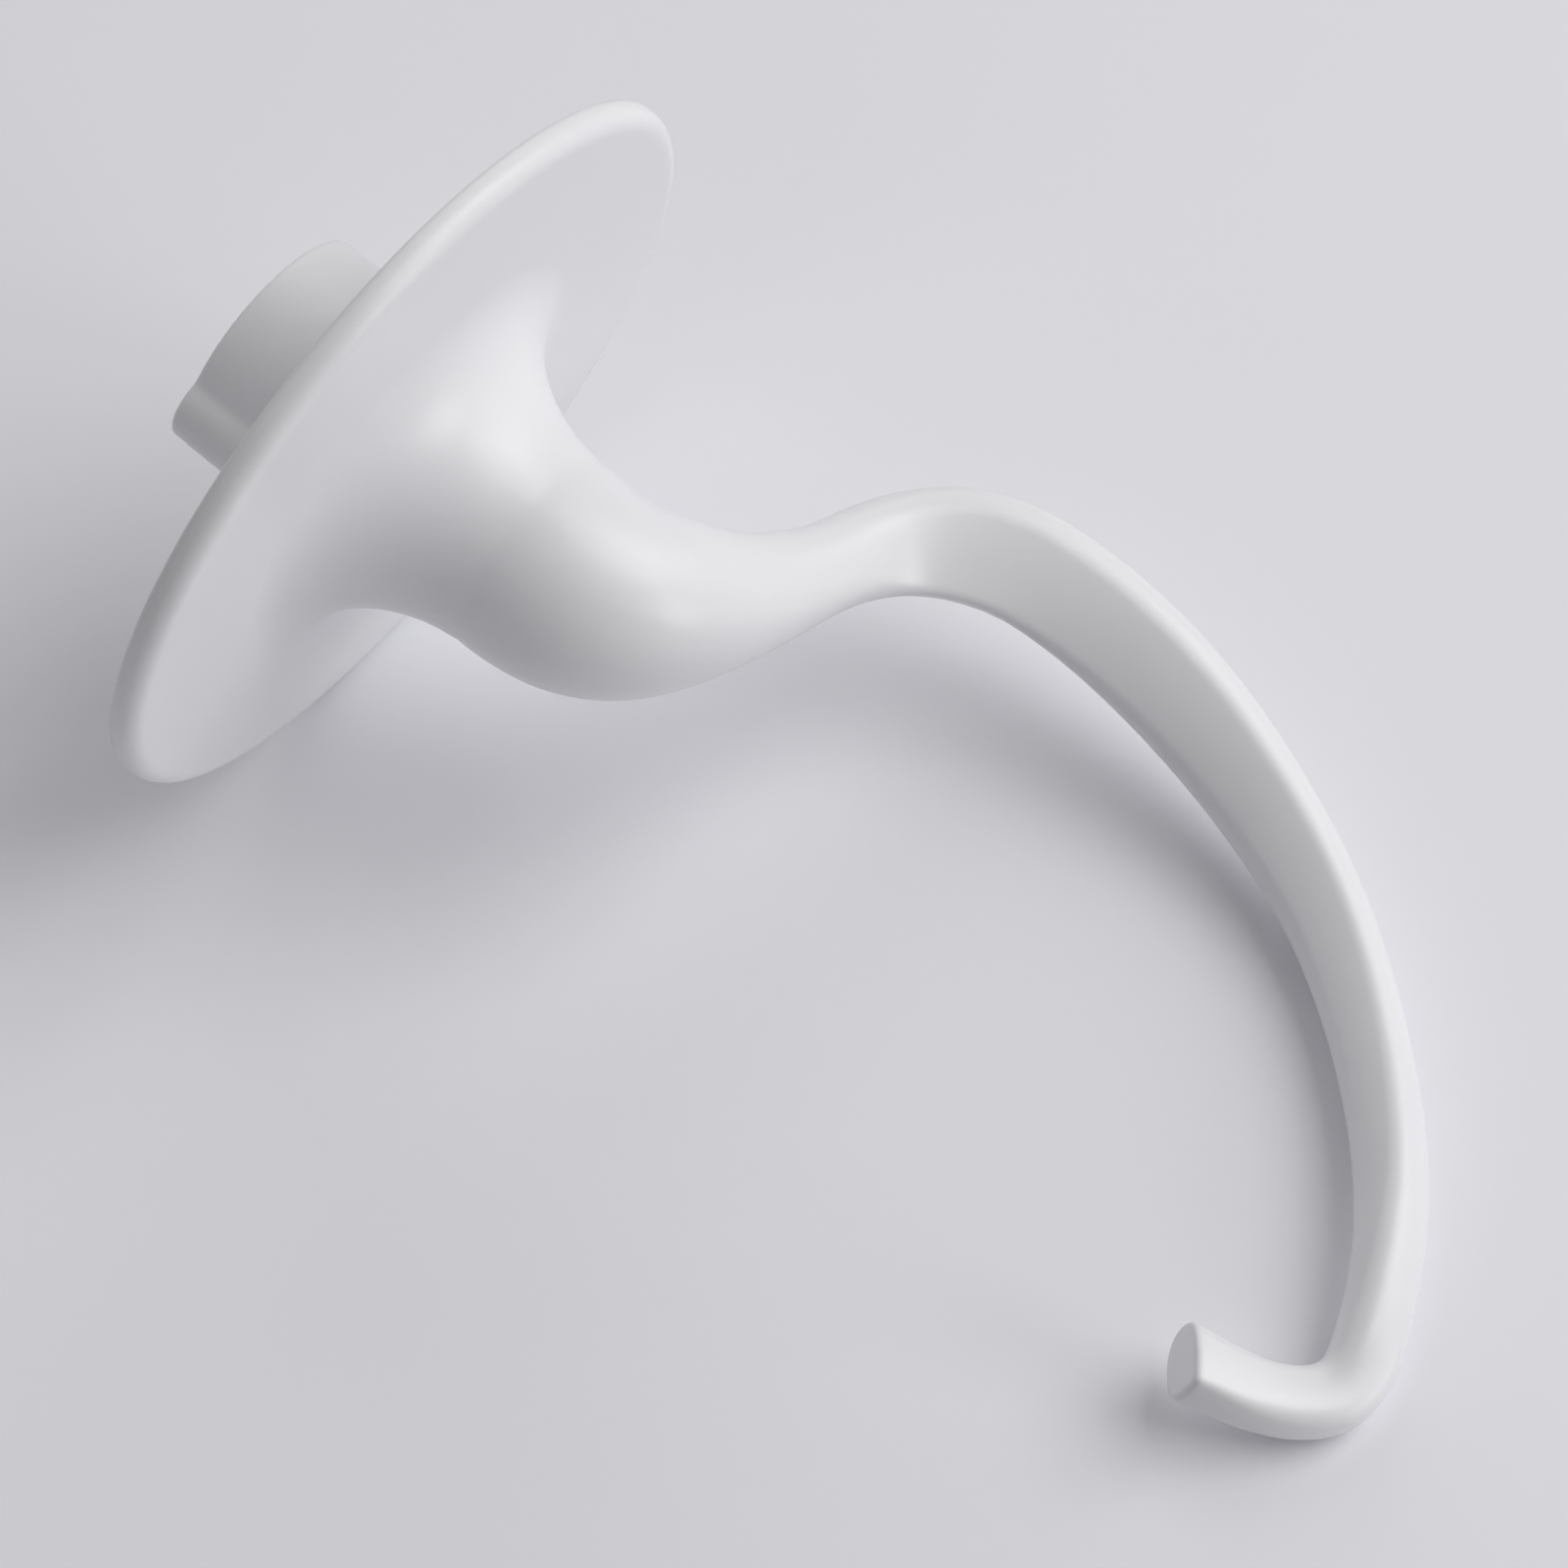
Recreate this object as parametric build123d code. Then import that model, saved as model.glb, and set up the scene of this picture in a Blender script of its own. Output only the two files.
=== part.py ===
from build123d import *
import os
from math import cos, pi, radians, tan
import numpy as np
from scipy.interpolate import CubicSpline, PchipInterpolator
from scipy.spatial import ConvexHull

# Dough hook of a stand mixer: one aluminium casting with a white coating.
# It is drawn about the hub's axis: Z runs up out of the hub's mouth, the flange's underside
# is at Z = 0, and the arm bulges out along X. Then it is laid down as it comes to rest,
# on the flange's rim, the back of the arm and the heel. Sizes are in millimetres.

# Flange and neck
flange_diameter = 84.0
flange_thickness = 3.0
rim_under_radius = 1.8
rim_top_radius = 0.5
flare_reach = 12.6  # trumpet flare between the underside and the neck, measured across
flare_height = 16.8  # and along the axis
neck_diameter = 22.6

# Hub, with a blind socket for the mixer's drive shaft
hub_diameter = 26.0
hub_height = 16.5  # above the flange
hub_root_radius = 1.5
hub_edge_radius = 0.6
shaft_diameter = 12.7
shaft_clearance = 0.15  # all round
socket_depth = 24.0
socket_chamfer = 0.5

# Bayonet for the shaft's drive pin: a keyway down one side, then a lock slot round from its foot
pin_diameter = 5.0
pin_reach = 10.8  # from the axis to the pin's tip
pin_clearance = 0.4  # on each side of the pin
lock_turn = 75.0  # degrees from the keyway's middle to the lock slot's end
lock_floor = 2.0  # metal left between the lock slot and the flange
window_start = 28.0  # degrees from the keyway's middle to where the slot opens through the hub's wall
rib_angle = 172.0  # degrees from the arm round to the rib that covers the keyway
rib_side_wall = 1.4
rib_end_wall = 3.7
rib_root_radius = 1.5

# Arm: a C that swings sideways towards its foot
arm_reach = 44.0  # from the axis to the centre line at the bulge
arm_drop = 112.0  # from the end of the flare to the centre line at the heel
foot_sweep = 17.0  # from the plane of the C to the foot
arm_breadth = 8.0  # about what lies between the broad faces, at the bulge
arm_depth = 12.6  # and from the outer nose to the inner edge
foot_cut_tilt = 10.5  # degrees the foot's cut leans from square, towards the inside of the C
foot_edge_radius = 0.4

# Stations down the centre line. Each gives shares of arm_reach, foot_sweep and arm_drop, then shares
# of the section's breadth and depth, and its roll in degrees. Next come its corner radii, as shares of
# half its lesser side: both rounded corners, the crease inside the C and the crease outside it. The
# last is its swell, in degrees that each side turns to either side of its middle.
neck_stations = [  # breadth and depth are shares of neck_diameter
    (0.00, 0.00, -0.035, 1.005, 1.005, 0, 1.00, 1.00, 1.00, 8),
    (0.00, 0.00, 0.000, 1.005, 1.005, 0, 1.00, 1.00, 1.00, 8),
    (0.02, 0.00, 0.046, 0.97, 0.97, 4, 1.00, 1.00, 1.00, 8),
    (0.14, 0.00, 0.101, 0.81, 0.82, 12, 0.99, 0.99, 0.99, 8),
    (0.32, 0.02, 0.142, 0.54, 0.59, 24, 0.96, 0.90, 0.96, 8),
]
arm_stations = [  # breadth and depth are shares of arm_breadth and arm_depth
    (0.60, 0.04, 0.176, 1.14, 0.75, 34, 0.90, 0.65, 0.90, 8),
    (0.80, 0.01, 0.207, 1.04, 0.86, 40, 0.84, 0.30, 0.84, 8),
    (0.92, -0.08, 0.262, 0.99, 0.97, 45, 0.80, 0.25, 0.80, 8),
    (0.99, -0.09, 0.363, 0.98, 0.97, 52, 0.76, 0.40, 0.78, 10),
    (1.00, -0.01, 0.464, 0.98, 0.96, 55, 0.72, 0.60, 0.76, 11),
    (0.96, 0.14, 0.587, 0.95, 0.88, 55, 0.66, 0.75, 0.76, 12),
    (0.83, 0.29, 0.720, 0.91, 0.75, 54, 0.58, 0.80, 0.76, 12),
    (0.59, 0.41, 0.839, 0.89, 0.65, 56, 0.54, 0.80, 0.76, 12),
    (0.28, 0.52, 0.936, 0.86, 0.59, 65, 0.62, 0.80, 0.76, 13),
    (0.04, 0.70, 0.986, 0.88, 0.50, 79, 0.76, 0.80, 0.76, 15),
    (-0.14, 0.94, 1.000, 0.92, 0.48, 88, 0.88, 0.86, 0.76, 18),
    (-0.24, 1.02, 0.959, 0.94, 0.49, 90, 0.92, 0.90, 0.58, 19),
    (-0.33, 0.99, 0.877, 1.01, 0.52, 90, 0.92, 0.90, 0.15, 15),  # where the foot is cut
    (-0.37, 0.98, 0.835, 1.06, 0.53, 90, 0.92, 0.90, 0.15, 15),
]
section_steps = 2  # sections from one station to the next

# How it lies: the side that comes down, seen from the hub's axis, and how far it may tip from there
lying_side = Vector(0.34, 0.92, -0.2)
lying_spread = 25.0  # degrees


def turned_blank():
    """The flange and the flare below it, in one turn of their half section."""
    rim = flange_diameter / 2
    neck = neck_diameter / 2
    flare = EllipticalCenterArc(
        (neck + flare_reach, -flare_height), flare_reach, flare_height, start_angle=90, arc_size=90
    )
    outline = flare + Polyline(
        flare @ 1,
        (0, -flare_height),
        (0, flange_thickness),
        (rim, flange_thickness),
        (rim, 0),
        flare @ 0,
    )
    half = make_face(outline)
    half = fillet(half.vertices().group_by(Axis.X)[-1].sort_by(Axis.Y)[0], rim_under_radius)
    half = fillet(half.vertices().group_by(Axis.X)[-1].sort_by(Axis.Y)[-1], rim_top_radius)
    return revolve(Plane.XZ * half, Axis.Z)


def add_hub(blank):
    """Stands the hub and its rib on the flange, and rounds their root and top edge."""
    rib_radius = pin_diameter / 2 + pin_clearance + rib_side_wall
    rib_centre = pin_reach + pin_clearance + rib_end_wall - rib_radius
    outline = Circle(hub_diameter / 2) + Pos(rib_centre, 0) * Circle(rib_radius)
    outline = fillet(outline.vertices().group_by(Axis.X)[0], rib_root_radius)
    hub = Pos(0, 0, flange_thickness) * Rot(0, 0, rib_angle) * extrude(outline, hub_height)
    whole = blank + hub
    whole = fillet(whole.edges().group_by(Axis.Z)[-1], hub_edge_radius)
    seat = whole.edges().filter_by_position(Axis.Z, flange_thickness, flange_thickness)
    return fillet(seat.filter_by(lambda edge: edge.length < pi * hub_diameter), hub_root_radius)


def sector(radius, height, start, end):
    """A wedge of a disc between two angles in degrees, standing on Z = 0."""
    wedge = Cylinder(radius, height, arc_size=end - start, align=(Align.NONE, Align.NONE, Align.MIN))
    return Rot(0, 0, start) * wedge


def socket_cut():
    """The shaft's bore, the keyway beside it and the lock slot, which opens past the rib as a window."""
    mouth = flange_thickness + hub_height
    bore_radius = shaft_diameter / 2 + shaft_clearance
    slot_reach = pin_reach + pin_clearance
    slot_width = pin_diameter + 2 * pin_clearance
    slot_bottom = flange_thickness + lock_floor
    bore = Pos(0, 0, mouth - socket_depth) * extrude(Circle(bore_radius), socket_depth)
    lead_in = Pos(0, 0, mouth - socket_chamfer) * Cone(
        bore_radius, bore_radius + socket_chamfer, socket_chamfer, align=(Align.CENTER, Align.CENTER, Align.MIN)
    )
    keyway = extrude(Rectangle(slot_reach, slot_width, align=(Align.MIN, Align.CENTER)), mouth - slot_bottom)
    lock = sector(slot_reach, slot_width, -lock_turn, 0)
    window = sector(hub_diameter, slot_width, -lock_turn, -window_start)
    return bore + lead_in + Pos(0, 0, slot_bottom) * Rot(0, 0, rib_angle) * (keyway + lock + window)


def section(breadth, depth, rounded, inner_crease, outer_crease, swell):
    """A section with four swollen sides about its centre, breadth along X and depth along Y.
    Each corner has its own radius, a share of half the lesser side."""
    lesser = min(breadth, depth) / 2
    rise = tan(radians(swell)) / 4  # of a side's middle above its ends, as a share of its length
    half_breadth = breadth / 2 - rise * (depth - 2 * rounded * lesser)
    half_depth = depth / 2 - rise * (breadth - 2 * rounded * lesser)
    corners = ((1, 1, outer_crease), (-1, 1, rounded), (-1, -1, inner_crease), (1, -1, rounded))
    arcs = []
    for turn, (across, deep, share) in enumerate(corners):
        radius = share * lesser
        centre = (across * (half_breadth - radius), deep * (half_depth - radius))
        arcs.append(CenterArc(centre, radius, 90 * turn + swell, 90 - 2 * swell))
    outline = []
    for arc, following in zip(arcs, arcs[1:] + arcs[:1]):
        outline += [arc, Spline(arc @ 1, following @ 0, tangents=(arc % 1, following % 0))]
    return Face(Wire(outline))


def arm():
    """The S of the neck, the C of the arm and the foot, lofted through sections square to their line."""
    scale = (arm_reach, foot_sweep, -arm_drop)
    rows = [(*row[:3], row[3] * neck_diameter, row[4] * neck_diameter, *row[5:]) for row in neck_stations]
    rows += [(*row[:3], row[3] * arm_breadth, row[4] * arm_depth, *row[5:]) for row in arm_stations]
    rows = np.array(rows)
    places = rows[:, :3] * scale - (0, 0, flare_height)
    travel = np.concatenate([[0], np.cumsum(np.linalg.norm(np.diff(places, axis=0), axis=1))])
    centre_line = CubicSpline(travel, places, bc_type=((1, (0, 0, -1)), "natural"))
    sizes = PchipInterpolator(travel, rows[:, 3:])

    def square_to_line(along):
        heading = Vector(*centre_line(along, 1)).normalized()
        sideways = Vector(0, 1, 0) - heading * heading.Y
        return Plane(Vector(*centre_line(along)), x_dir=sideways, z_dir=heading)

    last = len(travel) - 1
    sections = []
    for along in np.interp(np.linspace(0, last, section_steps * last + 1), np.arange(last + 1), travel):
        breadth, depth, roll, *shape = sizes(along)
        sections.append(square_to_line(along) * Rot(0, 0, roll) * section(breadth, depth, *shape))
    foot_cut = square_to_line(travel[-2]) * Rot(-foot_cut_tilt, 0, 0)
    waste = Box(2 * arm_depth, 2 * arm_depth, arm_depth, align=(Align.CENTER, Align.CENTER, Align.MIN))
    whole = loft(sections) - foot_cut * waste
    foot = whole.faces().filter_by(GeomType.PLANE).sort_by(Axis.Z)[0]
    return fillet(foot.edges(), foot_edge_radius)


def lay_down(hook):
    """Turns the hook on to the face of its hull where its weight lies lowest, and stands that on Z = 0."""
    points = np.array([tuple(corner) for corner in hook.tessellate(0.02)[0]])
    hull = ConvexHull(points)
    outward = hull.equations[:, :3]
    weight_height = -(outward @ np.array(tuple(hook.center(CenterOf.MASS))) + hull.equations[:, 3])
    near = outward @ np.array(tuple(lying_side.normalized())) > cos(radians(lying_spread))
    down = Vector(*outward[near][weight_height[near].argmin()])
    towards_foot = Vector(0, 0, -1) + down * down.Z
    floor = Plane((0, 0, 0), x_dir=towards_foot, z_dir=-down)
    hook = floor.to_local_coords(hook)
    box = hook.bounding_box()
    return Pos(-box.center().X, -box.center().Y, -box.min.Z) * hook


dough_hook = add_hub(turned_blank())
dough_hook -= socket_cut()
dough_hook += arm()
dough_hook = lay_down(dough_hook)

os.makedirs("parts", exist_ok=True)
export_step(dough_hook, "parts/dough_hook.step")
print("solids", len(dough_hook.solids()), "volume", dough_hook.volume, "box", dough_hook.bounding_box())
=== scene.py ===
"""A stand mixer's dough hook, a white coated casting, lying on a pale studio floor."""
from math import radians

import bpy
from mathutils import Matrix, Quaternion, Vector

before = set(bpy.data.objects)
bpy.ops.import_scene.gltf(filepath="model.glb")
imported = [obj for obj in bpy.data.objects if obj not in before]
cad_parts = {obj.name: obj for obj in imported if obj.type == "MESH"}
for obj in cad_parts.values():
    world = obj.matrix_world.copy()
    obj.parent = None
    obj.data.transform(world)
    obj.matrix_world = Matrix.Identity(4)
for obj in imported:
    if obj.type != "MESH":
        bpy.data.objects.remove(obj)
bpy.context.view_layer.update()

MILLIMETRE = 0.001

# Camera: a long lens that looks down over the foot's side of the hook
CAMERA_PLACE = Vector((0.13369, -0.18661, 0.40005))
CAMERA_TARGET = Vector((-0.01577, 0.00992, 0.0))
CAMERA_ROLL = 0.556  # degrees
CAMERA_LENS = 101.25  # millimetres
SENSOR_WIDTH = 36.0  # millimetres

# Light: soft lamps round the hook, brightest on the picture's right, and a dim room with a pale backdrop
LIGHT_TARGET = Vector((0.0, 0.0, 0.02))
LAMP_DISTANCE = 1.6
LAMPS = {  # azimuth and elevation in degrees, size in metres, power in watts
    "high_right_lamp": (45, 52, 1.3, 11.4),
    "right_lamp": (60, 32, 1.3, 6.2),
    "low_right_lamp": (15, 14, 0.7, 5.1),
    "back_lamp": (135, 32, 1.3, 5.0),
    "left_fill": (215, 42, 1.3, 2.6),
}
ROOM_COLOUR = "F5F4FA"
ROOM_STRENGTH = 0.12
BACKDROP_STRENGTH = 0.70  # about as light as the floor

# Coating: two close whites, with a fine ripple over the broader swells of the cast skin
COATING_TINTS = ("E8E8EB", "EDEDEE")
COATING_ROUGHNESS = (0.42, 0.50)
PEEL_SIZE = 2.2 * MILLIMETRE
PEEL_HEIGHT = 0.02 * MILLIMETRE
SKIN_SIZE = 14 * MILLIMETRE
SKIN_HEIGHT = 0.08 * MILLIMETRE
EDGE_RADIUS = 1.2 * MILLIMETRE  # how far the coating softens an edge
NOISE_RANGE = (0.3, 0.7)  # where most of a noise's values lie

# Floor: a round board
FLOOR_RADIUS = 0.6
FLOOR_CORNERS = 192
FLOOR_TINTS = ("F2F2F6", "F5F5F9")
MOTTLE_SIZE = 60 * MILLIMETRE


def linear(colour):
    """The linear colour of an sRGB hex value, with full alpha."""
    channels = [int(colour[at : at + 2], 16) / 255 for at in (0, 2, 4)]
    return [c / 12.92 if c <= 0.04045 else ((c + 0.055) / 1.055) ** 2.4 for c in channels] + [1.0]


def add_node(tree, kind, settings=(), values=(), links=()):
    """Adds a node with its own settings, its sockets' values and its links from other nodes."""
    node = tree.nodes.new(kind)
    for name, value in dict(settings).items():
        setattr(node, name, value)
    for name, value in dict(values).items():
        node.inputs[name].default_value = value
    for name, (source, output) in dict(links).items():
        tree.links.new(source.outputs[output], node.inputs[name])
    return node


def add_noise(tree, size, detail, roughness=0.5):
    """A noise on the object's own coordinates, with a grain of about the given size."""
    place = add_node(tree, "ShaderNodeTexCoord")
    return add_node(
        tree,
        "ShaderNodeTexNoise",
        values={"Scale": 1 / size, "Detail": detail, "Roughness": roughness},
        links={"Vector": (place, "Object")},
    )


def blend_tints(tree, noise, tints):
    """A colour that a noise blends from two tints."""
    return add_node(
        tree,
        "ShaderNodeMix",
        settings={"data_type": "RGBA"},
        values={"A": linear(tints[0]), "B": linear(tints[1])},
        links={"Factor": (noise, "Fac")},
    )


def new_material(name):
    """An empty node material and its tree."""
    material = bpy.data.materials.new(name)
    material.use_nodes = True
    material.node_tree.nodes.clear()
    return material, material.node_tree


def white_coating():
    """Sprayed and baked nylon coating over cast aluminium: a satin white with a fine orange-peel ripple,
    soft over the edges, under a thin clear gloss."""
    material, tree = new_material("nylon_coated_cast_aluminium")
    peel = add_noise(tree, PEEL_SIZE, detail=2.0, roughness=0.45)
    cast_skin = add_noise(tree, SKIN_SIZE, detail=3.0)
    tint = blend_tints(tree, cast_skin, COATING_TINTS)
    gloss = add_node(
        tree,
        "ShaderNodeMapRange",
        values={
            "From Min": NOISE_RANGE[0],
            "From Max": NOISE_RANGE[1],
            "To Min": COATING_ROUGHNESS[0],
            "To Max": COATING_ROUGHNESS[1],
        },
        links={"Value": (cast_skin, "Fac")},
    )
    softened_edge = add_node(
        tree,
        "ShaderNodeBevel",
        settings={"samples": 8},
        values={"Radius": EDGE_RADIUS},
    )
    ripple = add_node(
        tree,
        "ShaderNodeBump",
        values={"Strength": 0.12, "Distance": PEEL_HEIGHT},
        links={"Height": (peel, "Fac"), "Normal": (softened_edge, "Normal")},
    )
    swell = add_node(
        tree,
        "ShaderNodeBump",
        values={"Strength": 0.15, "Distance": SKIN_HEIGHT},
        links={"Height": (cast_skin, "Fac"), "Normal": (ripple, "Normal")},
    )
    surface = add_node(
        tree,
        "ShaderNodeBsdfPrincipled",
        values={"IOR": 1.5, "Coat Weight": 0.45, "Coat Roughness": 0.25},
        links={
            "Base Color": (tint, "Result"),
            "Roughness": (gloss, "Result"),
            "Normal": (swell, "Normal"),
            "Coat Normal": (swell, "Normal"),
        },
    )
    add_node(tree, "ShaderNodeOutputMaterial", links={"Surface": (surface, "BSDF")})
    return material


def floor_board():
    """Painted board: an even pale grey with a slight mottle."""
    material, tree = new_material("painted_board")
    mottle = add_noise(tree, MOTTLE_SIZE, detail=2.0)
    surface = add_node(
        tree,
        "ShaderNodeBsdfPrincipled",
        values={"Roughness": 0.85},
        links={"Base Color": (blend_tints(tree, mottle, FLOOR_TINTS), "Result")},
    )
    add_node(tree, "ShaderNodeOutputMaterial", links={"Surface": (surface, "BSDF")})
    return material


def lay_floor():
    """One wide round board under the hook, which ends short of the lamps."""
    bpy.ops.object.select_all(action="DESELECT")
    bpy.ops.mesh.primitive_circle_add(vertices=FLOOR_CORNERS, radius=FLOOR_RADIUS, fill_type="NGON")
    floor = bpy.context.object
    floor.name = "studio_floor"
    floor.data.materials.append(floor_board())


def add_soft_lamp(name, azimuth, elevation, size, power):
    """A square area lamp that points at the hook."""
    turn = Quaternion((0, 0, 1), radians(azimuth)) @ Quaternion((0, 1, 0), -radians(elevation))
    away = turn @ Vector((1, 0, 0))
    lamp = bpy.data.lights.new(name, "AREA")
    lamp.shape = "SQUARE"
    lamp.size = size
    lamp.energy = power
    holder = bpy.data.objects.new(name, lamp)
    holder.location = LIGHT_TARGET + LAMP_DISTANCE * away
    holder.rotation_euler = (-away).to_track_quat("-Z", "Y").to_euler()
    bpy.context.scene.collection.objects.link(holder)


def light_room():
    """A dim light from all round, which the camera and the gloss see as a pale backdrop."""
    world = bpy.data.worlds.new("pale_room")
    world.use_nodes = True
    tree = world.node_tree
    tree.nodes.clear()
    rays = add_node(tree, "ShaderNodeLightPath")
    seen_or_mirrored = add_node(
        tree,
        "ShaderNodeMath",
        settings={"operation": "ADD"},
        links={0: (rays, "Is Camera Ray"), 1: (rays, "Is Glossy Ray")},
    )
    shows_backdrop = add_node(
        tree,
        "ShaderNodeMath",
        settings={"operation": "ADD", "use_clamp": True},
        links={0: (seen_or_mirrored, "Value"), 1: (rays, "Is Transmission Ray")},
    )
    strength = add_node(
        tree,
        "ShaderNodeMath",
        settings={"operation": "MULTIPLY_ADD"},
        values={1: BACKDROP_STRENGTH - ROOM_STRENGTH, 2: ROOM_STRENGTH},
        links={0: (shows_backdrop, "Value")},
    )
    background = add_node(
        tree,
        "ShaderNodeBackground",
        values={"Color": linear(ROOM_COLOUR)},
        links={"Strength": (strength, "Value")},
    )
    add_node(tree, "ShaderNodeOutputWorld", links={"Surface": (background, "Background")})
    bpy.context.scene.world = world


def place_camera():
    """The camera, at the place and angle that the picture was taken from."""
    camera = bpy.data.cameras.new("studio_camera")
    camera.lens = CAMERA_LENS
    camera.sensor_width = SENSOR_WIDTH
    holder = bpy.data.objects.new("studio_camera", camera)
    aim = (CAMERA_TARGET - CAMERA_PLACE).to_track_quat("-Z", "Y")
    holder.location = CAMERA_PLACE
    holder.rotation_euler = (aim @ Quaternion((0, 0, 1), radians(CAMERA_ROLL))).to_euler()
    bpy.context.scene.collection.objects.link(holder)
    bpy.context.scene.camera = holder


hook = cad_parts["dough_hook"]
hook.data.materials.clear()
hook.data.materials.append(white_coating())

lay_floor()
for lamp_name, settings in LAMPS.items():
    add_soft_lamp(lamp_name, *settings)
light_room()
place_camera()
bpy.context.scene.view_settings.view_transform = "Standard"
